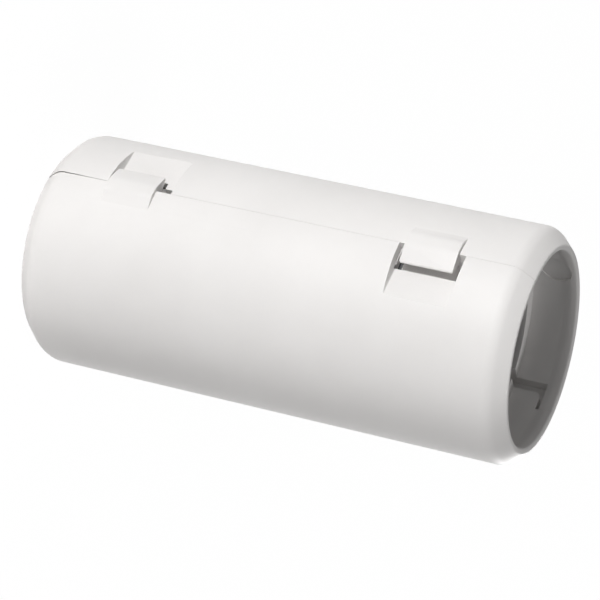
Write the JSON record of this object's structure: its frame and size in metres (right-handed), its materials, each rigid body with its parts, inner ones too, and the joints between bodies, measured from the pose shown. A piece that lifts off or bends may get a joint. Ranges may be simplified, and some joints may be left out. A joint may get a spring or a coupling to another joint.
{
  "type": "clip on ferrite bead",
  "caption": "Round clip-on ferrite bead for a thin cable: moulded half cases snap together round ferrite half sleeves, with a cable bore through the middle.",
  "frame": {"origin": "centre of the lower end, where the bead stands", "axes": "+Z along the cable bore, the halves part on the plane X = 0 with the front half on +X, and -Y faces the seam with both clips in plain view"},
  "size_m": [0.0114, 0.0118, 0.025],
  "materials": {
    "case": "satin moulded white plastic",
    "ferrite": "ground dark sintered ferrite"
  },
  "bodies": {
    "front_half": {"front_shell": "case", "front_core": "ferrite"},
    "rear_half": {"rear_shell": "case", "rear_core": "ferrite"}
  },
  "joints": [
    {"name": "rear_half_pull", "type": "slide", "parent": "front_half", "child": "rear_half", "axis": [-1, 0, 0], "range_m": [0, 0.014]}
  ]
}
